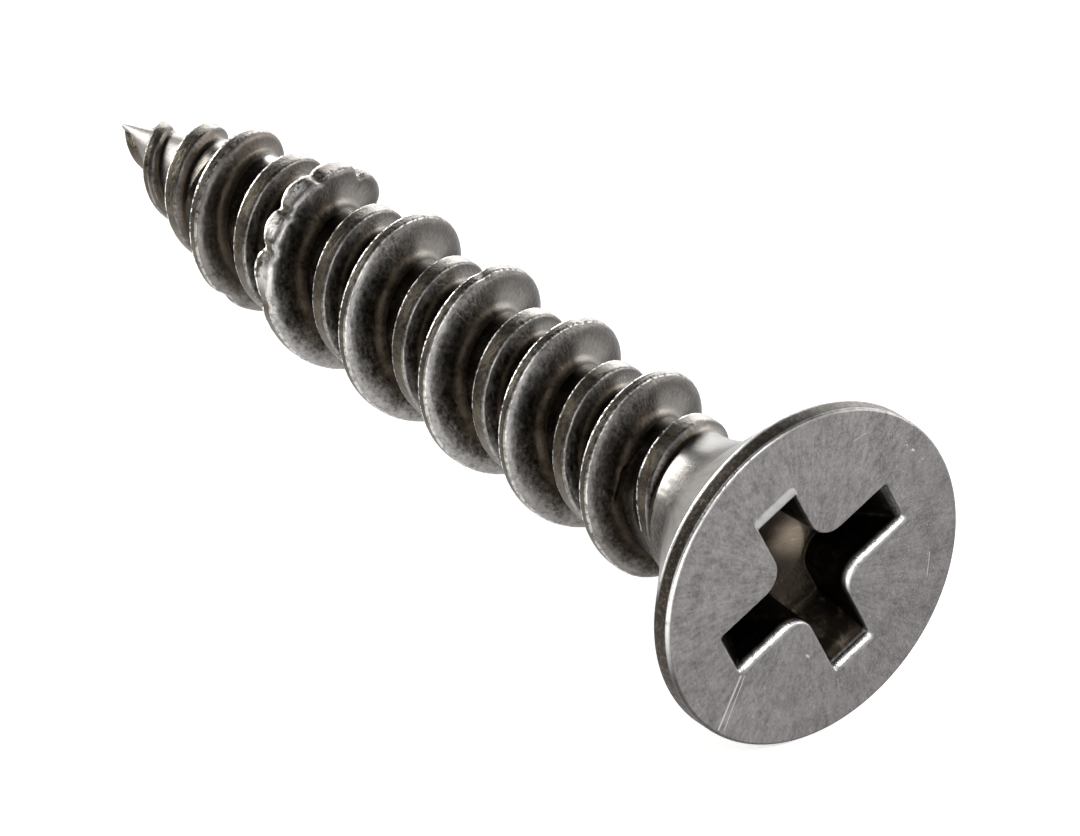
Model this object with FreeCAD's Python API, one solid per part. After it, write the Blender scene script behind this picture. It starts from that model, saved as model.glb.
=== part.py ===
# Flat-head wood screw with a cross recess, a plain flared neck and a two-start thread.
# Millimetres. The screw lies along X. Its flat face is the plane x = 0 and looks along +X,
# and its point is at x = -screw_length. One high thread and one low thread wind side by side.
import FreeCAD, Part
import math
import os

Vector = FreeCAD.Vector
ORIGIN = Vector(0, 0, 0)
SCREW_AXIS = Vector(1, 0, 0)

# Overall sizes
screw_length = 25.4
head_diameter = 8.15
neck_diameter = 3.04
core_diameter = 2.66

# Head and flare
rim_height = 0.5
rim_round = 0.08
countersink_angle = 82.0
flare_radius = 3.9
neck_length = 0.2
shoulder_length = 0.2

# Cross recess
recess_span = 5.17
recess_wing_width = 1.15
recess_lobe_radius = 0.6
recess_wing_depth = 1.45
recess_end_slope = 28.0
recess_side_slope = 2.0
recess_cone_radius = 0.9
recess_cone_depth = 0.4
recess_turn = 26.3

# Point
point_angle = 35.0
tip_radius = 0.05

# Threads: each has its height over the core, the widths of its crest and base, the length of
# core that it tapers on before the point, and how far it overruns the core onto the neck
thread_lead = 2.94
thread_start = 0.6
thread_end_angle = 201.6
high_thread_height = 0.87
high_thread_crest = 0.24
high_thread_base = 0.8
high_thread_taper = 3.8
high_thread_overrun = 0.85
low_thread_height = 0.415
low_thread_crest = 0.38
low_thread_base = 0.8
low_thread_taper = 2.0
low_thread_overrun = 1.2
run_out_turn = 75.0

# How the ridges are made oversize, as shares of the steel under them and of their own height,
# and how finely their curves follow the helix
BURIED_ROOT = 0.6
BURIED_CREST = 0.8
RAISED_CREST = 0.12
POINTS_PER_LENGTH = 12

# Worked-out radii and places along the axis
head_radius = head_diameter / 2
neck_radius = neck_diameter / 2
core_radius = core_diameter / 2
cone_slope = math.radians(countersink_angle / 2)
flare_depth = flare_radius * (1 - math.cos(cone_slope))
flare_reach = flare_radius * math.sin(cone_slope)
head_end = -rim_height - (head_radius - neck_radius - flare_depth) / math.tan(cone_slope)
flare_end = head_end - flare_reach
neck_end = flare_end - neck_length
core_start = neck_end - shoulder_length
tip_end = -screw_length
point_slope = math.radians(point_angle / 2)
tip_tangent = tip_radius * (1 - math.sin(point_slope))
tip_tangent_radius = tip_radius * math.cos(point_slope)
core_end = tip_end + tip_tangent + (core_radius - tip_tangent_radius) / math.tan(point_slope)


def at(place, radius):
    """Point of an outline, at a place along the screw and a radius."""
    return Vector(place, radius, 0)


def line(start, end):
    return Part.LineSegment(start, end).toShape()


def arc(start, middle, end):
    return Part.Arc(start, middle, end).toShape()


def turned(edges):
    """Solid of revolution about the screw's axis."""
    return Part.Face(Part.Wire(edges)).revolve(ORIGIN, SCREW_AXIS, 360)


def cross_outline(place, half_span, half_width):
    """Cross of four wings with rounded corners between them, square to the axis."""
    corner = half_width + recess_lobe_radius
    rounding = recess_lobe_radius * (1 - math.sqrt(0.5))
    near = half_width + rounding
    edges = []
    for quarter in range(4):
        wing = FreeCAD.Rotation(SCREW_AXIS, 90 * quarter)
        right = Vector(place, half_span, -half_width)
        left = Vector(place, half_span, half_width)
        inner = Vector(place, corner, half_width)
        lobe = Vector(place, near, near)
        next_inner = Vector(place, half_width, corner)
        next_end = Vector(place, half_width, half_span)
        edges.append(line(wing.multVec(right), wing.multVec(left)))
        edges.append(line(wing.multVec(left), wing.multVec(inner)))
        edges.append(arc(wing.multVec(inner), wing.multVec(lobe), wing.multVec(next_inner)))
        edges.append(line(wing.multVec(next_inner), wing.multVec(next_end)))
    return Part.Wire(edges)


def cross_recess():
    """The driver's recess: four tapered wings over a shallow cone."""
    floor = -recess_wing_depth
    half_span = recess_span / 2
    half_width = recess_wing_width / 2
    floor_span = half_span - recess_wing_depth * math.tan(math.radians(recess_end_slope))
    floor_width = half_width - recess_wing_depth * math.tan(math.radians(recess_side_slope))
    mouth = cross_outline(0, half_span, half_width)
    bottom = cross_outline(floor, floor_span, floor_width)
    wings = Part.makeLoft([mouth, bottom], True, True)
    cone = Part.makeCone(recess_cone_radius, 0, recess_cone_depth, at(floor, 0), -SCREW_AXIS)
    recess = wings.fuse(cone)
    recess.rotate(ORIGIN, SCREW_AXIS, recess_turn)
    return recess


def head():
    """Flat countersunk head with a straight rim and a softened edge."""
    rounding = rim_round * (1 - math.sqrt(0.5))
    edges = [
        line(at(head_end, 0), at(0, 0)),
        line(at(0, 0), at(0, head_radius - rim_round)),
        arc(at(0, head_radius - rim_round), at(-rounding, head_radius - rounding),
            at(-rim_round, head_radius)),
        line(at(-rim_round, head_radius), at(-rim_height, head_radius)),
        line(at(-rim_height, head_radius), at(head_end, neck_radius + flare_depth)),
        line(at(head_end, neck_radius + flare_depth), at(head_end, 0)),
    ]
    return turned(edges).cut(cross_recess())


def neck():
    """Plain neck: a trumpet flare, a short straight and the shoulder down to the core.

    The bottom of the recess reaches into it.
    """
    half_slope = cone_slope / 2
    middle = at(flare_end + flare_radius * math.sin(half_slope),
                neck_radius + flare_radius * (1 - math.cos(half_slope)))
    edges = [
        line(at(core_start, 0), at(head_end, 0)),
        line(at(head_end, 0), at(head_end, neck_radius + flare_depth)),
        arc(at(head_end, neck_radius + flare_depth), middle, at(flare_end, neck_radius)),
        line(at(flare_end, neck_radius), at(neck_end, neck_radius)),
        line(at(neck_end, neck_radius), at(core_start, core_radius)),
        line(at(core_start, core_radius), at(core_start, 0)),
    ]
    return turned(edges).cut(cross_recess())


def core():
    """Straight round core that both threads stand on."""
    return Part.makeCylinder(core_radius, core_start - core_end, at(core_end, 0), SCREW_AXIS)


def point():
    """Gimlet point: a cone that ends in a tiny rounded tip."""
    half_turn = (math.pi / 2 + point_slope) / 2
    tip_middle = at(tip_end + tip_radius * (1 - math.sin(half_turn)),
                    tip_radius * math.cos(half_turn))
    tip_side = at(tip_end + tip_tangent, tip_tangent_radius)
    edges = [
        line(at(tip_end, 0), at(core_end, 0)),
        line(at(core_end, 0), at(core_end, core_radius)),
        line(at(core_end, core_radius), tip_side),
        arc(tip_side, tip_middle, at(tip_end, 0)),
    ]
    return turned(edges)


def root_radius(place):
    """Radius of the steel under a thread: the core, or the point's cone."""
    cone_radius = tip_tangent_radius + (place - tip_end - tip_tangent) * math.tan(point_slope)
    return min(core_radius, cone_radius)


class Envelope:
    """Outline of the crests: a straight cylinder, then an arc down to the point's cone."""

    def __init__(self, height, taper):
        self.radius = core_radius + height
        self.start = tip_end + thread_start
        self.start_radius = root_radius(self.start)
        self.taper_end = core_end + taper
        drop = self.radius - self.start_radius
        reach = self.taper_end - self.start
        self.arc_radius = (reach ** 2 + drop ** 2) / (2 * drop)

    def radius_at(self, place):
        reach = max(0, self.taper_end - max(place, self.start))
        return self.radius - self.arc_radius + math.sqrt(self.arc_radius ** 2 - reach ** 2)

    def solid(self):
        middle = (self.start + self.taper_end) / 2
        return turned([
            line(at(self.start, 0), at(head_end, 0)),
            line(at(head_end, 0), at(head_end, self.radius)),
            line(at(head_end, self.radius), at(self.taper_end, self.radius)),
            arc(at(self.taper_end, self.radius), at(middle, self.radius_at(middle)),
                at(self.start, self.start_radius)),
            line(at(self.start, self.start_radius), at(self.start, 0)),
        ])


class Ridge:
    """Helical bar, rooted inside the core and a little too high, that sinks away at its end."""

    def __init__(self, envelope, crest, base, overrun, first_angle):
        self.envelope = envelope
        self.first_angle = first_angle
        height = envelope.radius - core_radius
        flank = (base - crest) / 2 / height
        self.raised = height * RAISED_CREST
        self.crest_half = crest / 2 - flank * self.raised
        self.root_half = base / 2 + flank * core_radius * (1 - BURIED_ROOT)
        self.start = envelope.start - thread_start / 2
        self.end = core_start + overrun
        self.run_out = thread_lead * run_out_turn / 360

    def top_radius(self, place):
        share = min(1, (self.end - place) / self.run_out)
        low = root_radius(place) * BURIED_CREST
        return low + share * (self.envelope.radius_at(place) + self.raised - low)

    def edge(self, places, side, buried):
        """One of the bar's four long edges, as a curve through points along the helix."""
        half_width = self.root_half if buried else self.crest_half
        points = []
        for place in places:
            radius = root_radius(place) * BURIED_ROOT if buried else self.top_radius(place)
            angle = self.first_angle + 360 * (place - core_start) / thread_lead
            turn = FreeCAD.Rotation(SCREW_AXIS, angle)
            points.append(turn.multVec(at(place + side * half_width, radius)))
        curve = Part.BSplineCurve()
        curve.interpolate(Points=points, Parameters=places)
        return curve.toShape()

    def length(self, start, end):
        """A short length of the bar, closed by a flat section at each end."""
        places = [start + (end - start) * step / POINTS_PER_LENGTH
                  for step in range(POINTS_PER_LENGTH + 1)]
        edges = [self.edge(places, -1, True), self.edge(places, -1, False),
                 self.edge(places, 1, False), self.edge(places, 1, True)]
        faces = [Part.makeRuledSurface(edges[side - 1], edges[side], 1) for side in range(4)]
        for last in (0, -1):
            corners = [item.Vertexes[last].Point for item in edges]
            faces.append(Part.Face(Part.makePolygon(corners + corners[:1])))
        shell = Part.Shell(faces)
        shell.sewShape()
        bar = Part.Solid(shell)
        if bar.Volume < 0:
            bar.reverse()
        return bar

    def lengths(self):
        """The whole bar, as lengths of about half a turn."""
        count = math.ceil((self.end - self.start) / thread_lead * 2)
        step = (self.end - self.start) / count
        return [self.length(self.start + step * number, self.start + step * (number + 1))
                for number in range(count)]


def thread(height, crest, base, taper, overrun, first_angle):
    """One helical thread, trimmed to its true height and to the steel that it stands on."""
    envelope = Envelope(height, taper)
    room = envelope.solid().cut(neck().fuse([core(), point()]))
    trimmed = []
    for bar in Ridge(envelope, crest, base, overrun, first_angle).lengths():
        trimmed.extend(bar.common(room).Solids)
    return trimmed[0].fuse(trimmed[1:])


def high_thread():
    return thread(high_thread_height, high_thread_crest, high_thread_base,
                  high_thread_taper, high_thread_overrun, thread_end_angle)


def low_thread():
    return thread(low_thread_height, low_thread_crest, low_thread_base,
                  low_thread_taper, low_thread_overrun, thread_end_angle + 180)


def only_solid(shape):
    """The single solid of a shape, so that each node is one clean piece."""
    solids = shape.Solids
    if len(solids) != 1:
        raise ValueError(f"expected one solid, found {len(solids)}")
    return solids[0]


NODES = {
    "head": head,
    "neck": neck,
    "core": core,
    "gimlet_point": point,
    "high_thread": high_thread,
    "low_thread": low_thread,
}

os.makedirs("parts", exist_ok=True)
for name, build in NODES.items():
    solid = only_solid(build())
    solid.exportStep(f"parts/{name}.step")
    print(name, round(solid.Volume, 3), solid.isValid())
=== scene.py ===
import math

import bpy
from mathutils import Matrix, Vector


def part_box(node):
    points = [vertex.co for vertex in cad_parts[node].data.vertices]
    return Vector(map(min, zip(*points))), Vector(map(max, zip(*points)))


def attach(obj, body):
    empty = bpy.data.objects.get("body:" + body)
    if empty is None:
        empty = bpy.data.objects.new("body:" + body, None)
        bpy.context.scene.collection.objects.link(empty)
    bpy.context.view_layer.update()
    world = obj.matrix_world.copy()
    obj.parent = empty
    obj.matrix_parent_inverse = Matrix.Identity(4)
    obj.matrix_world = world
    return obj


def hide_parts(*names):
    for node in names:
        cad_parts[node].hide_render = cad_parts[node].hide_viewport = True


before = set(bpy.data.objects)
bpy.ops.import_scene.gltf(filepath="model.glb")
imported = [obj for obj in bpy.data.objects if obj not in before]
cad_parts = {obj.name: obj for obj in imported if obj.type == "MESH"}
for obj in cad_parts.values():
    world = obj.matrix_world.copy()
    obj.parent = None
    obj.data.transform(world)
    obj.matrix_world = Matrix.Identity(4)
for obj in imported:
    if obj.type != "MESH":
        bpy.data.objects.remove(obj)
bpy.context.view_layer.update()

# A countersunk wood screw, in metres. It lies along X: the head's flat face is the plane
# x = 0 and looks along +X, and the point is on the -X side.
MM = 0.001


# ---------------------------------------------------------------- sizes from the frame

def lowest(node, axis):
    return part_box(node)[0][axis]


def highest(node, axis):
    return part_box(node)[1][axis]


HEAD_RADIUS = highest("head", 2)
HEAD_END = lowest("head", 0)
FLARE_TOP_RADIUS = highest("neck", 2)
CORE_START = lowest("neck", 0)
CORE_RADIUS = highest("core", 2)
CORE_END = lowest("core", 0)
TIP_END = lowest("gimlet_point", 0)
HIGH_RADIUS = highest("high_thread", 2)
LOW_RADIUS = highest("low_thread", 2)

# Head
SEGMENTS = 192
RIM_ROUND = 0.08 * MM
RIM_HEIGHT = 0.5 * MM
RIM_LOWER_ROUND = 0.06 * MM

# Recess
RECESS_SPAN = 5.17 * MM
RECESS_WIDTH = 1.15 * MM
RECESS_DEPTH = 1.45 * MM
RECESS_END_SLOPE = math.radians(28)
RECESS_SIDE_SLOPE = math.radians(2)
RECESS_CONE_RADIUS = 0.9 * MM
RECESS_CONE_DEPTH = 0.4 * MM
RECESS_LOBE_RADIUS = 0.6 * MM
RECESS_CORNER_RADIUS = 0.09 * MM
RECESS_LIP = 0.1 * MM
RECESS_TURN = math.radians(26.3)
WORN_LENGTH = 0.5 * MM
WORN_REACH = 0.36 * MM

# Neck
NECK_RADIUS = 1.52 * MM
FLARE_RADIUS = 3.9 * MM
SHOULDER_LENGTH = 0.2 * MM

# Point
POINT_SLOPE = math.radians(17.5)
TIP_RADIUS = 0.05 * MM

# Threads
LEAD = 2.94 * MM
THREAD_START = 0.6 * MM
CLEAR_OF_TIP = 0.25 * MM
THREAD_END_ANGLE = math.radians(201.6)
STEPS_PER_TURN = 200
RIDGE_START = TIP_END + THREAD_START
RIDGE_KINDS = ("crest", "below", "bare", "edge_highlight", "back")


# ---------------------------------------------------------------- modelling helpers

def only(thing):
    """Selects one object and nothing else."""
    bpy.ops.object.select_all(action="DESELECT")
    thing.select_set(True)
    bpy.context.view_layer.objects.active = thing


def apply_modifier(thing, kind, **settings):
    only(thing)
    modifier = thing.modifiers.new(kind.title(), kind)
    for name, value in settings.items():
        setattr(modifier, name, value)
    bpy.ops.object.modifier_apply(modifier=modifier.name)


def edit(thing):
    only(thing)
    bpy.ops.object.mode_set(mode="EDIT")
    bpy.ops.mesh.select_all(action="SELECT")


def leave_edit():
    bpy.ops.object.mode_set(mode="OBJECT")


def turned(name, outline):
    """Closed solid of revolution about X: a disc, extruded and resized from place to place."""
    place, radius = outline[0]
    bpy.ops.object.select_all(action="DESELECT")
    bpy.ops.mesh.primitive_circle_add(vertices=SEGMENTS, radius=radius, fill_type="NGON",
                                      location=(place, 0, 0), rotation=(0, math.pi / 2, 0))
    piece = bpy.context.object
    piece.name = name
    bpy.ops.object.transform_apply(location=True, rotation=True, scale=True)
    edit(piece)
    for next_place, next_radius in outline[1:]:
        share = next_radius / radius
        bpy.ops.mesh.extrude_region_move(
            TRANSFORM_OT_translate={"value": (next_place - place, 0, 0)})
        bpy.ops.transform.resize(value=(1, share, share), center_override=(next_place, 0, 0))
        place, radius = next_place, next_radius
    leave_edit()
    outward(piece)
    return piece


def close_ends(piece):
    edit(piece)
    bpy.ops.mesh.select_mode(type="VERT")
    bpy.ops.mesh.select_all(action="DESELECT")
    bpy.ops.mesh.select_non_manifold()
    bpy.ops.mesh.fill_holes(sides=0)
    leave_edit()


def outward(piece):
    edit(piece)
    bpy.ops.mesh.normals_make_consistent(inside=False)
    leave_edit()


def smooth(piece, angle):
    only(piece)
    bpy.ops.object.shade_smooth_by_angle(angle=math.radians(angle))


def arc_points(centre, radius, first, last, count):
    """Points (place, radius) along an arc, from one angle to another, in degrees."""
    points = []
    for number in range(count + 1):
        angle = math.radians(first + (last - first) * number / count)
        points.append((centre[0] + radius * math.cos(angle),
                       centre[1] + radius * math.sin(angle)))
    return points


# ---------------------------------------------------------------- head

def wrapped(name, rings):
    """Closed piece from rings of (x, y, z) round X: a grid wrapped round and capped."""
    around = len(rings[0])
    bpy.ops.object.select_all(action="DESELECT")
    bpy.ops.mesh.primitive_grid_add(x_subdivisions=around, y_subdivisions=len(rings) - 1,
                                    size=MM)
    piece = bpy.context.object
    piece.name = name
    for number, corner in enumerate(piece.data.vertices):
        ring, step = divmod(number, around + 1)
        corner.co = rings[ring][step % around]
    edit(piece)
    bpy.ops.mesh.remove_doubles(threshold=1e-7)
    leave_edit()
    close_ends(piece)
    outward(piece)
    return piece


def cross_outline(depth):
    """Recess outline at a depth: points (y, z) and the directions out into the metal."""
    half_span = RECESS_SPAN / 2 - depth * math.tan(RECESS_END_SLOPE)
    half_width = RECESS_WIDTH / 2 - depth * math.tan(RECESS_SIDE_SLOPE)
    lobe, corner = RECESS_LOBE_RADIUS, RECESS_CORNER_RADIUS
    lobe_centre = half_width + lobe
    side = []
    for step in range(9):
        angle = math.radians(225 + 45 * step / 8)
        out = (math.cos(angle), math.sin(angle))
        side.append(((lobe_centre + lobe * out[0], lobe_centre + lobe * out[1]),
                     (-out[0], -out[1])))
    for step in range(1, 12):
        along = lobe_centre + (half_span - corner - lobe_centre) * step / 12
        side.append(((along, half_width), (0, 1)))
    for step in range(5):
        angle = math.radians(90 - 90 * step / 4)
        out = (math.cos(angle), math.sin(angle))
        side.append(((half_span - corner + corner * out[0],
                      half_width - corner + corner * out[1]), out))
    for step in range(1, 6):
        side.append(((half_span, (half_width - corner) * (1 - step / 6)), (1, 0)))
    middle = [((half_span, 0), (1, 0))]
    mirrored = [((y, -z), (out[0], -out[1])) for (y, z), out in reversed(side)]
    quarter = (side + middle + mirrored)[:-1]
    outline = []
    for wing in range(4):
        turn = RECESS_TURN - wing * math.pi / 2
        cos, sin = math.cos(turn), math.sin(turn)
        for (y, z), out in quarter:
            outline.append(((y * cos - z * sin, y * sin + z * cos),
                            (out[0] * cos - out[1] * sin, out[0] * sin + out[1] * cos)))
    return outline


def pushed_side(y, z):
    """How far a direction (y, z) looks to the side that the driver pushes."""
    return max(0, y * 0.62 - z * 0.785)


def lip_size(out):
    """The lip is worn broader on the side that the driver pushes."""
    push = pushed_side(*out)
    return RECESS_LIP * (0.75 + 1.3 * push ** 2)


def ledge(y, z):
    """The end of one wing has a worn slope: how far in its edge lies there, as (y, z)."""
    turn = RECESS_TURN + math.pi / 2
    along = y * math.cos(turn) + z * math.sin(turn)
    worn_share = (along - RECESS_SPAN / 2 + WORN_LENGTH) / WORN_LENGTH
    reach = WORN_REACH * max(0, min(1, worn_share))
    return reach * math.cos(turn), reach * math.sin(turn)


def cross_ring(place, depth, grow=0):
    kept = (1 - depth / RECESS_DEPTH) ** 2
    ring = []
    for ((y, z), out), (first, _) in zip(cross_outline(depth), cross_outline(0)):
        in_y, in_z = ledge(*first)
        ring.append((place, y + out[0] * grow - in_y * kept, z + out[1] * grow - in_z * kept))
    return ring


def head_rings():
    angles = [math.atan2(z, y) for (y, z), out in cross_outline(0)]

    def circle(place, radius):
        return [(place, radius * math.cos(angle), radius * math.sin(angle)) for angle in angles]

    bottom = -RECESS_DEPTH
    cone_end = bottom - RECESS_CONE_DEPTH
    rings = [circle(cone_end, 0.04 * MM)]
    for share in (0.1, 0.5, 0.92, 1):
        rings.append(circle(cone_end + (bottom - cone_end) * share, RECESS_CONE_RADIUS * share))
    for grow in (-0.07 * MM, -0.03 * MM):
        rings.append(cross_ring(bottom, RECESS_DEPTH, grow))
    rings.append(cross_ring(bottom + 0.008 * MM, RECESS_DEPTH - 0.008 * MM, -0.012 * MM))
    rings.append(cross_ring(bottom + 0.03 * MM, RECESS_DEPTH - 0.03 * MM))
    for share in (0.9, 0.75, 0.6, 0.45, 0.3, 0.2):
        rings.append(cross_ring(bottom * share, RECESS_DEPTH * share))
    for step in range(7):
        turn = math.radians(90 * step / 6)
        ring = []
        for (y, z), out in cross_outline(0):
            size = lip_size(out)
            grow = size * (1 - math.cos(turn))
            in_y, in_z = [inward * (1 - step / 6) for inward in ledge(y, z)]
            ring.append((-size * (1 - math.sin(turn)), y + out[0] * grow - in_y,
                         z + out[1] * grow - in_z))
        rings.append(ring)
    inner = rings[-1]
    outer = circle(0, HEAD_RADIUS - RIM_ROUND)
    for share in (0.012, 0.1, 0.2, 0.3, 0.4, 0.5, 0.6, 0.7, 0.8, 0.9, 0.985):
        rings.append([tuple(Vector(start).lerp(Vector(end), share))
                      for start, end in zip(inner, outer)])
    cone_slope = math.atan2(HEAD_RADIUS - FLARE_TOP_RADIUS, -RIM_HEIGHT - HEAD_END)
    reach = RIM_LOWER_ROUND * math.tan(cone_slope / 2)
    lower = (reach - RIM_HEIGHT, HEAD_RADIUS - RIM_LOWER_ROUND)
    outline = arc_points((-RIM_ROUND, HEAD_RADIUS - RIM_ROUND), RIM_ROUND, 0, 90, 6)
    outline += arc_points(lower, RIM_LOWER_ROUND, 90, 90 + math.degrees(cone_slope), 4)
    last_place, last_radius = outline[-1]
    for share in (0.02, 0.25, 0.5, 0.75, 1):
        outline.append((last_place + (HEAD_END - last_place) * share,
                        last_radius + (FLARE_TOP_RADIUS - last_radius) * share))
    return rings + [circle(place, radius) for place, radius in outline]


def make_head():
    """Flat countersunk head with a thin straight rim, softened edges and the cross recess."""
    head = wrapped("head_with_recess", head_rings())
    # How bright each edge is painted: on the recess lip, wear on the side that the driver pushes
    # plus a painted highlight; elsewhere a painted highlight on edges turned to -y and up.
    wear_and_highlight = head.data.attributes.new("wear_and_highlight", "FLOAT", "POINT")
    for number, corner in enumerate(head.data.vertices):
        x, y, z = corner.co
        pushed = pushed_side(-corner.normal.y, -corner.normal.z) ** 2 * 2.2
        lit_side_highlight = max(0, -corner.normal.y * 0.95 + corner.normal.z * 0.3) * 1.3
        in_lip = math.hypot(y, z) < 3 * MM and -0.2 * MM < x < -0.001 * MM
        if in_lip and math.hypot(*ledge(y, z)) > 0.12 * MM:
            pushed = 0.3
        wear_and_highlight.data[number].value = min(1, pushed) if in_lip else min(1, lit_side_highlight)
    smooth(head, 32)
    return head


# ---------------------------------------------------------------- neck, core and point

def flare_end():
    """Where the flare's arc meets the straight neck."""
    rise = FLARE_TOP_RADIUS - NECK_RADIUS
    return HEAD_END - math.sqrt(FLARE_RADIUS ** 2 - (FLARE_RADIUS - rise) ** 2)


FLARE_END = flare_end()


def shank_radius(place):
    """Radius of the plain steel under the threads, from the flare to the point."""
    if place > FLARE_END:
        sagitta = FLARE_RADIUS - math.sqrt(FLARE_RADIUS ** 2 - (place - FLARE_END) ** 2)
        return NECK_RADIUS + sagitta
    if place > CORE_START:
        share = min(1, (place - CORE_START) / SHOULDER_LENGTH)
        return CORE_RADIUS + (NECK_RADIUS - CORE_RADIUS) * share * share * (3 - 2 * share)
    cone = TIP_RADIUS + (place - TIP_END - TIP_RADIUS) * math.tan(POINT_SLOPE)
    return min(CORE_RADIUS, max(cone, TIP_RADIUS / 2))


def places_between(first, last, count):
    return [first + (last - first) * number / count for number in range(count + 1)]


def make_neck():
    """Trumpet flare, short straight and shoulder."""
    places = places_between(HEAD_END, FLARE_END, 28)
    places += places_between(FLARE_END, CORE_START, 10)[1:]
    neck = turned("flared_neck", [(place, shank_radius(place)) for place in places])
    smooth(neck, 40)
    return neck


def make_core():
    core = turned("shank_core", [(CORE_START, CORE_RADIUS), (CORE_END, CORE_RADIUS)])
    smooth(core, 40)
    return core


def make_point():
    """Cone with a tiny rounded tip."""
    centre = (TIP_END + TIP_RADIUS, 0)
    tangent = 90 + math.degrees(POINT_SLOPE)
    side = arc_points(centre, TIP_RADIUS, tangent, 176, 8)
    point = turned("gimlet_tip", [(CORE_END, CORE_RADIUS)] + side)
    smooth(point, 50)
    return point


# ---------------------------------------------------------------- threads

def helix_angle(place, first_angle):
    return first_angle + 2 * math.pi * (place - CORE_START) / LEAD


def crest_radius(place, radius, taper):
    """Height of the crest above the axis: straight, then an arc down to the point's cone."""
    start = RIDGE_START
    start_radius = shank_radius(start)
    taper_end = CORE_END + taper
    drop = radius - start_radius
    reach = taper_end - start
    arc = (reach ** 2 + drop ** 2) / (2 * drop)
    fall = max(0, taper_end - max(place, start))
    return radius - arc + math.sqrt(arc ** 2 - fall ** 2)


def half_profile(height, crest_half, corner, shoulder, shoulder_top, flank, fillet):
    """One side of a thread's section, from the crest's middle to its root: (offset, rise).
    The land has a small corner, a rounded shoulder, a straight flank and a fillet."""
    slope = math.radians(flank)
    crown = 0.13 * MM
    crown_end = 62
    rounded = crown * math.cos(math.radians(crown_end))
    points = [(0, height), (crest_half * 0.45, height)]
    crown_centre = (crest_half - rounded - corner * 0.1, height - crown)
    points += arc_points(crown_centre, crown, 90, crown_end, 4)
    last_offset, last_rise = points[-1]
    turn = math.radians(crown_end)
    centre = (last_offset - corner * math.cos(turn), last_rise - corner * math.sin(turn))
    points += arc_points(centre, corner, crown_end, shoulder_top, 2)[1:]
    last_offset, last_rise = points[-1]
    turn = math.radians(shoulder_top)
    centre = (last_offset - shoulder * math.cos(turn), last_rise - shoulder * math.sin(turn))
    points += arc_points(centre, shoulder, shoulder_top, flank, 6)[1:]
    last_offset, last_rise = points[-1]
    meet_rise = fillet * (1 - math.sin(slope))
    meet_offset = last_offset + (last_rise - meet_rise) * math.tan(slope)
    points.append(((last_offset + meet_offset) / 2, (last_rise + meet_rise) / 2))
    centre = (meet_offset + fillet * math.cos(slope), fillet)
    points += arc_points(centre, fillet, 180 + flank, 270, 6)
    foot = centre[0] + 0.03 * MM
    return points + [(foot, -0.02 * MM), (foot, -0.12 * MM)]


def thread_section(half):
    """The whole section as a closed loop of (offset, rise)."""
    mirrored = [(-offset, rise) for offset, rise in reversed(half[1:])]
    return mirrored + half


def section_piece(name, section, start):
    """The section as a ring of edges in the plane y = 0, where the ridge begins."""
    bpy.ops.object.select_all(action="DESELECT")
    bpy.ops.mesh.primitive_circle_add(vertices=len(section), radius=MM, fill_type="NOTHING")
    piece = bpy.context.object
    piece.name = name
    for corner, (offset, rise) in zip(piece.data.vertices, section):
        corner.co = (start + offset, 0, CORE_RADIUS + rise)
    return piece


def make_thread(name, radius, taper, end, run_out, first_angle, half, front_edge, shape):
    """A helical ridge: its section is screwed along the shank, then fitted to it all along.
    Attributes are kept for the steel: "crest" is the height over the root as a share, "below"
    is the depth under the crest in millimetres, "bare" is where it is damaged, the fourth is
    the strength of the painted highlight on its edge and "back" is 1 on the flank that looks to
    the point."""
    start = RIDGE_START
    turns = (end - start) / LEAD
    piece = section_piece(name, thread_section(half), start)
    first_turn = helix_angle(start, first_angle) - math.pi / 2
    piece.data.transform(Matrix.Rotation(first_turn, 4, "X"))
    apply_modifier(piece, "SCREW", axis="X", angle=2 * math.pi * turns, screw_offset=turns * LEAD,
                   steps=math.ceil(turns * STEPS_PER_TURN), use_smooth_shade=True)
    full_height = radius - CORE_RADIUS
    for kind in RIDGE_KINDS:
        piece.data.attributes.new(kind, "FLOAT", "POINT")
    crest, below, bare, edge_highlight, back = [piece.data.attributes[kind] for kind in RIDGE_KINDS]
    for number, corner in enumerate(piece.data.vertices):
        x, y, z = corner.co
        angle = math.atan2(z, y)
        near = CORE_START + (angle - first_angle) / (2 * math.pi) * LEAD
        place = near + round((x - near) / LEAD) * LEAD
        share = (math.hypot(y, z) - CORE_RADIUS) / full_height
        crest.data[number].value = share
        below.data[number].value = (1 - share) * full_height / MM
        top = crest_radius(place, radius, taper)
        fade = max(0, min(1, (end - place) / run_out))
        begin = max(0, 1 - (place - start) / MM)
        narrow = (0.6 + 0.4 * top / radius) * (1 + 0.9 * begin)
        back.data[number].value = 1 if x < place else 0
        # Painted highlight on the crest's edges: full on the edge towards the point, weaker by
        # front_edge on the other.
        edge_highlight.data[number].value = 1 if x < place else front_edge
        offset, share, bare.data[number].value = shape(place, (x - place) * narrow, share)
        spot = max(place + offset, TIP_END + CLEAR_OF_TIP)
        root = shank_radius(spot)
        height = max(0, top - root) * fade * fade * (3 - 2 * fade)
        reach = root + (height * share if share > 0 else full_height * share * 0.5)
        reach = max(reach, root * 0.5)
        corner.co = (spot, reach * math.cos(angle), reach * math.sin(angle))
    close_ends(piece)
    outward(piece)
    smooth(piece, 60)
    return piece


def bump_at(place, centre, width):
    return math.exp(-((place / MM - centre) / width) ** 2)


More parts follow.
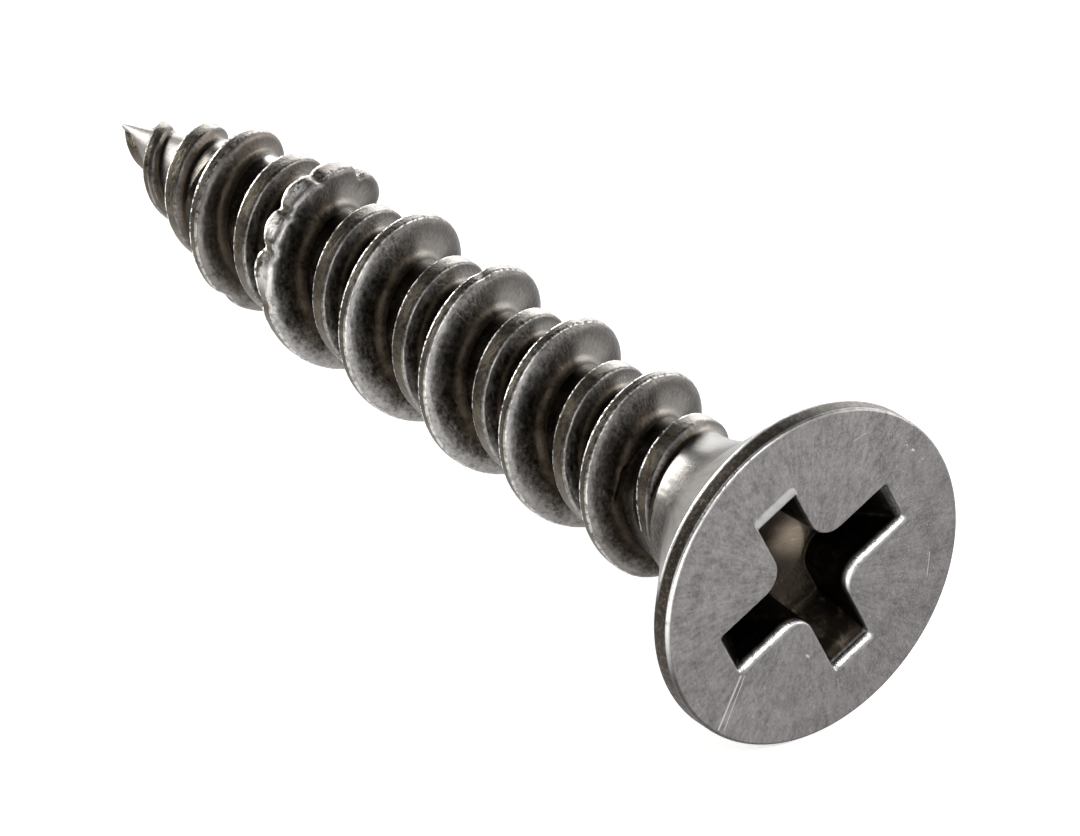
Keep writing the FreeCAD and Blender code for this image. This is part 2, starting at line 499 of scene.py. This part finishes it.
# Where a tool has caught the tall crest: place along the screw, width, depth of the bite as a
# share of the thread's height, how far the crest is pushed over, and how far it is spread
BITES = [
    (-18.64, 0.06, 0.26, -0.02, 0.0),
    (-18.44, 0.08, 0.00, 0.03, 0.2),
    (-18.27, 0.05, 0.24, -0.03, 0.0),
    (-18.06, 0.09, 0.03, -0.03, 0.3),
    (-17.93, 0.03, 0.10, 0.02, 0.0),
    (-17.80, 0.06, 0.02, -0.06, 0.5),
    (-17.68, 0.025, 0.10, 0.02, -0.2),
    (-17.58, 0.05, 0.03, -0.06, 0.4),
    (-17.47, 0.025, 0.12, 0.03, -0.3),
    (-17.35, 0.07, 0.01, -0.09, 0.5),
    (-17.20, 0.03, 0.07, 0.00, -0.2),
    (-17.02, 0.09, 0.02, -0.02, 0.2),
    (-19.80, 0.05, 0.14, 0.03, 0.2),
    (-12.10, 0.04, 0.05, 0.00, 0.0),
    (-9.30, 0.03, 0.04, 0.00, 0.0),
]


def chewed(place, offset, share):
    """The tall crest as it is: flattened broad in one stretch, with notches and burrs."""
    upper = max(0, share - 0.3) / 0.7
    flattened = bump_at(place, -17.75, 0.75)
    bite, lean, spread, bare = 0.03 * flattened, -0.03 * flattened * MM, 0.7 * flattened, 0
    for centre, width, depth, push, wide in BITES:
        strength = bump_at(place, centre, width)
        bite += strength * depth
        lean += strength * push * MM
        spread += strength * wide
        bare += strength if push < -0.05 else 0
    offset = offset * (1 + spread * upper ** 3) + lean * upper ** 2
    return offset, share - bite * upper, min(1, bare)


def worn(place, offset, share):
    """The low crest is whole, with a few slight nicks."""
    bite = 0.1 * bump_at(place, -14.05, 0.05) + 0.08 * bump_at(place, -8.3, 0.04)
    return offset, share - bite * max(0, share - 0.5), 0


def make_high_thread():
    half = half_profile(HIGH_RADIUS - CORE_RADIUS, 0.12 * MM, 0.03 * MM, 0.4 * MM, 48, 8,
                        0.25 * MM)
    return make_thread("high_ridge", HIGH_RADIUS, 3.8 * MM, -4.4 * MM, 0.65 * MM,
                       THREAD_END_ANGLE, half, 0.35, chewed)


def make_low_thread():
    half = half_profile(LOW_RADIUS - CORE_RADIUS, 0.2 * MM, 0.04 * MM, 0.1 * MM, 55, 18,
                        0.16 * MM)
    return make_thread("low_ridge", LOW_RADIUS, 2.0 * MM, -3.95 * MM, 0.4 * MM,
                       THREAD_END_ANGLE + math.pi, half, 0.12, worn)


# ---------------------------------------------------------------- materials

class Maths:
    """A shader value; the usual signs add math nodes."""

    def __init__(self, tree, socket):
        self.tree = tree
        self.socket = socket

    def node(self, kind, *inputs, output=0, **settings):
        """Any node: its type, its settings, then its inputs by number."""
        made = self.tree.nodes.new(kind)
        for name, value in settings.items():
            setattr(made, name, value)
        for number, value in inputs:
            if isinstance(value, Maths):
                self.tree.links.new(value.socket, made.inputs[number])
            else:
                made.inputs[number].default_value = value
        return Maths(self.tree, made.outputs[output])

    def maths(self, operation, *values):
        return self.node("ShaderNodeMath", *enumerate(values), operation=operation)

    def __add__(self, other):
        return self.maths("ADD", self, other)

    __radd__ = __add__

    def __mul__(self, other):
        return self.maths("MULTIPLY", self, other)

    __rmul__ = __mul__

    def __sub__(self, other):
        return self.maths("SUBTRACT", self, other)

    def __rsub__(self, other):
        return self.maths("SUBTRACT", other, self)

    def __truediv__(self, other):
        return self.maths("DIVIDE", self, other)

    def least(self, other):
        return self.maths("MINIMUM", self, other)

    def most(self, other):
        return self.maths("MAXIMUM", self, other)

    def ramp(self, low, high):
        """0 below low, 1 above high, smooth between; low above high turns it round."""
        return self.node("ShaderNodeMapRange", (0, self), (1, low), (2, high), (3, 0.0),
                         (4, 1.0), interpolation_type="SMOOTHSTEP")

    def near(self, centre, width):
        """1 at the centre, 0 at half the width away."""
        return abs(self - centre).ramp(width / 2, 0.0)

    def __abs__(self):
        return self.maths("ABSOLUTE", self)

    def mixed(self, low, high):
        """A colour between two colours by this value."""
        return self.node("ShaderNodeMix", (0, self), (6, low), (7, high), output=2,
                         data_type="RGBA")

    def from_axis(self, other):
        """The root of the sum of two squares: how far a place is from the axis."""
        return self.maths("SQRT", self * self + other * other)

    def vector(self, y, z):
        return self.node("ShaderNodeCombineXYZ", (0, self), (1, y), (2, z))

    def kept(self, name):
        """The value that a piece keeps at each of its points under a name."""
        return self.node("ShaderNodeAttribute", attribute_name=name, output=2)

    def noise(self, scale, detail=2.0, rough=0.5):
        return self.node("ShaderNodeTexNoise", (2, scale), (0, self), (3, detail), (4, rough))


def colour(red, green, blue):
    return (red, green, blue, 1.0)


def start_material(name):
    """New material, its shader and a Maths for the object's x, y and z in millimetres."""
    material = bpy.data.materials.new(name)
    material.use_nodes = True
    tree = material.node_tree
    shader = tree.nodes["Principled BSDF"]
    shader.inputs["Metallic"].default_value = 1.0
    place = tree.nodes.new("ShaderNodeTexCoord")
    scaled = Maths(tree, place.outputs["Object"])
    scaled = scaled.node("ShaderNodeVectorMath", (0, scaled), (1, (1000, 1000, 1000)),
                         operation="MULTIPLY")
    split = tree.nodes.new("ShaderNodeSeparateXYZ")
    tree.links.new(scaled.socket, split.inputs[0])
    axes = [Maths(tree, output) for output in split.outputs]
    return material, shader, scaled, axes


def feed(shader, name, value):
    value.tree.links.new(value.socket, shader.inputs[name])


def bump(shader, height, depth):
    """Raises the surface by a height from 0 to 1, times a depth in millimetres."""
    raised = height.node("ShaderNodeBump", (0, 1.0), (1, depth * MM), (3, height))
    feed(shader, "Normal", raised)


def streaked(y, z, radius):
    """Fine radial streaks on the flat face."""
    around = (y / radius * 9).vector(z / radius * 9, radius * 0.6)
    return around.noise(3.2, 4.0, 0.65)


def line_mark(y, z, start, end, width):
    """1 on a straight mark between two places (y, z) on the face, 0 off it."""
    length = math.dist(start, end)
    along_y, along_z = (end[0] - start[0]) / length, (end[1] - start[1]) / length
    along = (y - start[0]) * along_y + (z - start[1]) * along_z
    across = (y - start[0]) * -along_z + (z - start[1]) * along_y
    return across.near(0, width) * along.ramp(0, 0.06) * along.ramp(length, length - 0.06)


# Marks on the flat face, in millimetres: start, end, width
CREASES = [
    ((-2.0, -1.75), (-2.66, -2.98), 0.085),
    ((-1.9, -1.8), (-2.5, -3.06), 0.04),
    ((-0.2, -1.9), (-0.08, -2.03), 0.1),
    ((0.62, -2.52), (0.72, -2.68), 0.07),
    ((2.74, 2.33), (2.86, 2.22), 0.09),
    ((2.6, 2.5), (2.67, 2.42), 0.06),
    ((3.05, 2.0), (3.1, 1.9), 0.05),
    ((3.3, -0.5), (3.22, -1.15), 0.03),
    ((1.5, 3.2), (1.1, 3.1), 0.03),
]


def head_steel():
    """Satin face with radial streaks and painted shade to one side, bright edges from wear and
    painted highlights, a dark rim of painted shade and a recess of painted shade with painted
    patches of light.
    """
    material, shader, place, (x, y, z) = start_material("head_steel")
    radius = y.from_axis(z)
    streaks = streaked(y, z, radius).ramp(0.3, 0.7)
    grain = place.noise(13.0, 4.0, 0.7).ramp(0.25, 0.75)
    cloud = place.noise(1.3, 3.0, 0.6).ramp(0.3, 0.7)
    marks = 0.0
    for start, end, width in CREASES:
        marks = line_mark(y, z, start, end, width).most(marks)
    marks = marks * x.ramp(-0.04, -0.02)
    specks = place.noise(26.0, 2.0, 0.5).ramp(0.63, 0.72) * (y + radius).ramp(2.4, 6.0)
    scratches = (y * 3 + z * 1.2).vector(z * 0.5 - y * 0.2, 0.0).noise(4.0, 3.0, 0.75)
    scratches = scratches.ramp(0.58, 0.72)
    mottle = place.noise(4.5, 4.0, 0.75).ramp(0.3, 0.7)
    # Painted shade: the face is darker towards +y and -z.
    shade = 0.96 - (y - z * 0.4).ramp(0.2, 3.6) * 0.24
    face = (streaks * 0.25 + grain * 0.3 + mottle * 0.25 + cloud * 0.2) * shade
    face = face.mixed(colour(0.055, 0.0515, 0.05), colour(0.33, 0.315, 0.31))
    light = specks * 0.4 + marks * 0.6 + scratches * 0.16
    face = light.mixed(face, colour(0.7, 0.69, 0.67))
    outside = HEAD_RADIUS / MM
    side = radius.ramp(outside - 0.03, outside - 0.01)
    # Painted shade: the rim's side is painted dark, and a band at its lower edge is darker
    # towards the bottom; its roughness is raised too.
    rim = side * x.ramp(-0.07, -0.12) * x.ramp(-0.47, -0.41)
    rim = rim.most(x.ramp(-0.38, -0.44) * x.ramp(-0.6, -0.52) * z.ramp(1.5, 0.3) * 0.8)
    # Painted highlight and painted shade on the rim's rounded corners: bright towards the top and
    # towards -y, dark elsewhere. The recess lip is bright from wear and a painted highlight.
    corner = radius.ramp(outside - 0.085, outside - 0.05) * x.ramp(-0.55, -0.5)
    front_corner = x.ramp(-0.4, -0.3) * z.ramp(-1.4, 0.8)
    highlit_corner = front_corner + x.ramp(-0.3, -0.4) * z.ramp(0.4, 1.7)
    lip = x.ramp(-0.001, -0.008) * x.ramp(-0.2, -0.14) * radius.ramp(3.0, 2.8)
    wear_and_highlight = x.kept("wear_and_highlight")
    edge = (corner * highlit_corner + lip).least(1.0) * wear_and_highlight
    edge = edge * place.noise(3.0, 3.0, 0.6).ramp(0.15, 0.5)
    face = (corner * (1.0 - highlit_corner) * 0.75).mixed(face, colour(0.035, 0.03, 0.025))
    face = edge.mixed(face, colour(0.9, 0.89, 0.87))
    under = x.ramp(-0.53, -0.6)
    drawn = (y / radius * 6).vector(z / radius * 6, 0.0).noise(2.5, 4.0, 0.65).ramp(0.3, 0.7)
    drawn = drawn * 0.35 + grain * 0.4 + mottle * 0.25
    drawn = drawn.mixed(colour(0.1, 0.09, 0.08), colour(0.33, 0.316, 0.297))
    face = under.mixed(face, drawn)
    spots = place.noise(11.0, 4.0, 0.7).ramp(0.45, 0.8)
    # The rim's colour: dark, as painted shade.
    dull_and_painted_shading = spots.mixed(colour(0.03, 0.024, 0.018), colour(0.17, 0.13, 0.09))
    # The recess is painted near black as painted shade, with warm noise and painted patches of
    # light on its floor and on one wall.
    inside = radius.ramp(2.78, 2.66) * x.ramp(-0.1, -0.16) * x.ramp(-1.98, -1.9)
    inside = inside * (1.0 - wear_and_highlight * x.ramp(-0.24, -0.2))
    warm = place.noise(2.3, 4.0, 0.6).ramp(0.5, 0.85)
    bottom = x.ramp(-1.42, -1.47)
    floor = bottom * y.near(0.62, 1.3) * z.near(0.2, 1.5) * 0.75 + bottom * 0.12
    wall = y.near(-0.95, 0.7) * z.near(-0.6, 0.6) * x.near(-0.65, 0.7)
    recess_painted_shade_and_light = (warm * 0.3 + floor + wall * 0.6).least(1.0)
    recess_painted_shade_and_light = recess_painted_shade_and_light.mixed(colour(0.014, 0.011, 0.008), colour(0.36, 0.295, 0.225))
    steel = rim.mixed(face, dull_and_painted_shading)
    feed(shader, "Base Color", inside.mixed(steel, recess_painted_shade_and_light))
    rough = 0.3 + streaks * 0.1 + grain * 0.1 + rim * 0.12 - inside * 0.06 - edge * 0.1
    feed(shader, "Roughness", rough)
    bump(shader, streaks * 0.35 + grain * 0.4 - marks * 0.8, 0.009)
    return material


def painted_light_top_of(y, z, radius):
    """1 along the top of the screw as it lies, 0 elsewhere: where light and shade are painted on
    the top.
    """
    return (y / radius * 0.6 + z / radius * 0.8).ramp(0.84, 0.97)


def helix_streaks(x, y, z, radius, stretch):
    """Streaks that run round the screw, as rolling leaves them."""
    around = (y / radius * 1.4).vector(z / radius * 1.4, radius * stretch + x * stretch * 0.5)
    return around.noise(2.0, 4.0, 0.65).ramp(0.3, 0.7)


def thread_steel():
    """Rolled steel: grooves dark from scale and painted shade, satin flanks painted lighter or
    darker by side, a dark land between painted highlights on the edges.
    """
    material, shader, place, (x, y, z) = start_material("thread_steel")
    crest, below, bare, edge_highlight, back = [x.kept(kind) for kind in RIDGE_KINDS]
    radius = y.from_axis(z)
    streaks = helix_streaks(x, y, z, radius, 6.0)
    grain = place.noise(9.0, 5.0, 0.68).ramp(0.25, 0.75)
    scale = place.noise(2.2, 3.0, 0.6).ramp(0.35, 0.7)
    flank = streaks * 0.3 + grain * 0.4 + scale * 0.3
    flank = flank.mixed(colour(0.06, 0.054, 0.049), colour(0.27, 0.256, 0.242))
    # Painted light and shade by side: the flanks are painted lighter on the side that faces -y,
    # and darker away from it and towards the root.
    painted_light_low_side = (y / radius * -1.0 - z / radius * 0.2).ramp(-0.3, 0.75)
    painted_light_top = painted_light_top_of(y, z, radius)
    painted_shade_flank = flank.node("ShaderNodeVectorMath", (0, flank), (1, (0.27, 0.26, 0.25)),
                        operation="MULTIPLY")
    flank = (painted_light_low_side * 0.6 + crest * 0.4).ramp(0.1, 1.0).mixed(painted_shade_flank, flank)
    # Painted highlight: a bright band just under the crest on the flank that looks to the head,
    # on the -y side, away from the head and the point.
    painted_highlight_band = painted_light_low_side * below.ramp(0.55, 0.05) * (1.0 - back) * x.ramp(-6.0, -9.5)
    painted_highlight_band = painted_highlight_band * x.ramp(-21.5, -18.0) * edge_highlight.ramp(0.12, 0.35)
    flank = (painted_highlight_band * grain.ramp(-0.5, 0.9) * 0.45).mixed(flank, colour(0.5, 0.49, 0.48))
    # The grooves are near black from scale and painted shade; along the top of the screw they are
    # painted lighter as a painted highlight.
    groove = (grain * 0.5 + scale * 0.5).mixed(colour(0.008, 0.006, 0.004),
                                               colour(0.06, 0.047, 0.034))
    groove = (painted_light_top * 0.6).mixed(groove, colour(0.24, 0.225, 0.205))
    # Groove colour below, flank colour higher up; the flank that looks to the point keeps much of
    # the groove colour as painted shade.
    clean_and_lit = (crest + grain * 0.25 + scale * 0.1 - 0.1).ramp(0.3, 0.95)
    clean_and_lit = clean_and_lit * (1.0 - back * 0.75)
    steel = clean_and_lit.mixed(groove, flank)
    steel = (x.ramp(-17.5, -21.0) * 0.5).mixed(steel, colour(0.07, 0.056, 0.043))
    land = below.ramp(0.004, 0.001)
    # The land is dark; along the top of the screw it is painted lighter as a painted highlight.
    dull_and_painted_shading = (grain * 0.6 + scale * 0.4).mixed(colour(0.024, 0.018, 0.011),
                                             colour(0.14, 0.118, 0.088))
    dull_and_painted_shading = (painted_light_top * 0.3).mixed(dull_and_painted_shading, colour(0.3, 0.29, 0.275))
    steel = land.mixed(steel, dull_and_painted_shading)
    # Painted highlight: bright dotted lines along the crest's edges, weaker on the top of the
    # screw; bare damaged metal is bright as well.
    dots = place.noise(10.0, 2.0, 0.5).ramp(0.43, 0.54)
    edge = below.ramp(0.05, 0.03) * below.ramp(0.0, 0.003) * dots
    edge = edge * edge_highlight * x.ramp(-24.2, -21.5) * (1.0 - painted_light_top * 0.5)
    edge = edge.most(bare * below.ramp(0.12, 0.02) * scale.ramp(0.0, 0.5) * 0.55)
    feed(shader, "Base Color", edge.mixed(steel, colour(0.92, 0.9, 0.87)))
    rough = 0.27 + grain * 0.16 + streaks * 0.05 - edge * 0.1 + crest.ramp(0.5, 0.0) * 0.1
    feed(shader, "Roughness", rough)
    bump(shader, streaks * 0.3 + grain * 0.5 + dots * 0.2, 0.01)
    return material


def shank_steel():
    """Plain round parts: dark under the threads from scale and painted shade, with a painted
    highlight along the top there, brighter on the neck and at the point, with painted shade on
    the neck's top.
    """
    material, shader, place, (x, y, z) = start_material("shank_steel")
    radius = y.from_axis(z)
    streaks = helix_streaks(x, y, z, radius, 5.0)
    lengthwise = (y / radius * 7).vector(z / radius * 7, x * 0.7).noise(2.2, 4.0, 0.65)
    lengthwise = lengthwise.ramp(0.3, 0.7)
    grain = place.noise(9.0, 5.0, 0.68).ramp(0.25, 0.75)
    bright = streaks * 0.25 + lengthwise * 0.55 + grain * 0.2
    bright = bright.mixed(colour(0.15, 0.138, 0.124), colour(0.38, 0.366, 0.346))
    # Under the threads the core is near black from scale and painted shade.
    groove = (grain * streaks).mixed(colour(0.02, 0.015, 0.01), colour(0.13, 0.11, 0.088))
    # Painted shade: the neck is darker on its top side.
    top = (y * 0.69 + z * 0.72).ramp(0.5, 1.3) * x.ramp(-5.0, -4.5)
    bright = (top * 0.88).mixed(bright, colour(0.03, 0.026, 0.02))
    joined = x.ramp(-3.1, -2.3)
    bright = (joined * 0.4).mixed(bright, colour(0.15, 0.14, 0.128))
    point = x.ramp(-21.0, -23.0)
    ends = x.ramp(-4.75, -4.2).most(point * 0.45)
    # Painted highlight: along the top of the screw the core under the threads is painted lighter.
    painted_light_top = painted_light_top_of(y, z, radius)
    groove = (painted_light_top * 0.8).mixed(groove, colour(0.34, 0.32, 0.295))
    feed(shader, "Base Color", ends.mixed(groove, bright))
    rough = 0.24 + grain * 0.04 + top * 0.15 + point * 0.12 + joined * 0.13
    feed(shader, "Roughness", rough)
    bump(shader, lengthwise, 0.0003)
    return material


# ---------------------------------------------------------------- camera, floor and light

def make_camera():
    azimuth = math.radians(52.3)
    elevation = math.radians(30.5)
    towards = Vector((math.sin(azimuth) * math.cos(elevation),
                      -math.cos(azimuth) * math.cos(elevation), math.sin(elevation)))
    aim = Vector((-9.85, -0.02, -0.48)) * MM
    distance = 0.6
    view_width = 24.16 * MM
    data = bpy.data.cameras.new("camera")
    data.sensor_width = 36
    data.lens = data.sensor_width * distance / view_width
    data.clip_start = 0.01
    data.clip_end = 20
    camera = bpy.data.objects.new("camera", data)
    bpy.context.scene.collection.objects.link(camera)
    camera.location = aim + towards * distance
    camera.rotation_euler = (-towards).to_track_quat("-Z", "Y").to_euler()
    bpy.context.scene.camera = camera


def make_floor():
    bpy.ops.object.select_all(action="DESELECT")
    bpy.ops.mesh.primitive_plane_add(size=4, location=(0, 0, -HEAD_RADIUS))
    floor = bpy.context.object
    floor.name = "floor"
    material = bpy.data.materials.new("pale_floor")
    material.use_nodes = True
    shader = material.node_tree.nodes["Principled BSDF"]
    shader.inputs["Base Color"].default_value = (0.9, 0.9, 0.9, 1)
    shader.inputs["Roughness"].default_value = 0.9
    shader.inputs["Emission Color"].default_value = (1, 1, 1, 1)
    shader.inputs["Emission Strength"].default_value = 0.55
    floor.data.materials.append(material)


LIT_PLACE = Vector((-10 * MM, 0, 0))


def soft_light(name, direction, width, height, radiance, distance=0.5):
    """Rectangular softbox seen from the screw in a direction, facing it."""
    data = bpy.data.lights.new(name, "AREA")
    data.shape = "RECTANGLE"
    data.size = width
    data.size_y = height
    data.energy = radiance * math.pi * width * height
    light = bpy.data.objects.new(name, data)
    bpy.context.scene.collection.objects.link(light)
    towards = Vector(direction).normalized()
    light.location = LIT_PLACE + towards * distance
    light.rotation_euler = (-towards).to_track_quat("-Z", "Y").to_euler()


def make_light():
    world = bpy.data.worlds.new("world")
    bpy.context.scene.world = world
    world.use_nodes = True
    background = world.node_tree.nodes["Background"]
    background.inputs["Color"].default_value = (1, 1, 1, 1)
    background.inputs["Strength"].default_value = 0.12
    soft_light("tip_end", (-0.95, -0.12, 0.24), 0.27, 0.23, 12)
    soft_light("above_head", (0.69, -0.08, 0.72), 0.24, 0.24, 6)
    soft_light("front", (0.7, -0.5, 0.4), 0.4, 0.3, 0.15, 0.75)
    soft_light("left_of_head", (0.66, -0.75, -0.02), 0.3, 0.25, 8)
    soft_light("behind", (-0.7, 0.68, 0.06), 0.34, 0.2, 11)
    soft_light("right", (0.2, 0.94, 0.26), 0.36, 0.26, 8)
    bpy.context.scene.view_settings.view_transform = "Standard"


HEAD_STEEL = head_steel()
THREAD_STEEL = thread_steel()
SHANK_STEEL = shank_steel()
PIECES = [
    (make_head, "head", HEAD_STEEL, "head_steel"),
    (make_neck, "neck", SHANK_STEEL, "thread_steel"),
    (make_core, "core", SHANK_STEEL, "thread_steel"),
    (make_point, "gimlet_point", SHANK_STEEL, "thread_steel"),
    (make_high_thread, "high_thread", THREAD_STEEL, "thread_steel"),
    (make_low_thread, "low_thread", THREAD_STEEL, "thread_steel"),
]
for make, node, steel, slot in PIECES:
    piece = make()
    piece.data.materials.clear()
    piece.data.materials.append(steel)
    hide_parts(node)
    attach(piece, "root")

make_camera()
make_floor()
make_light()
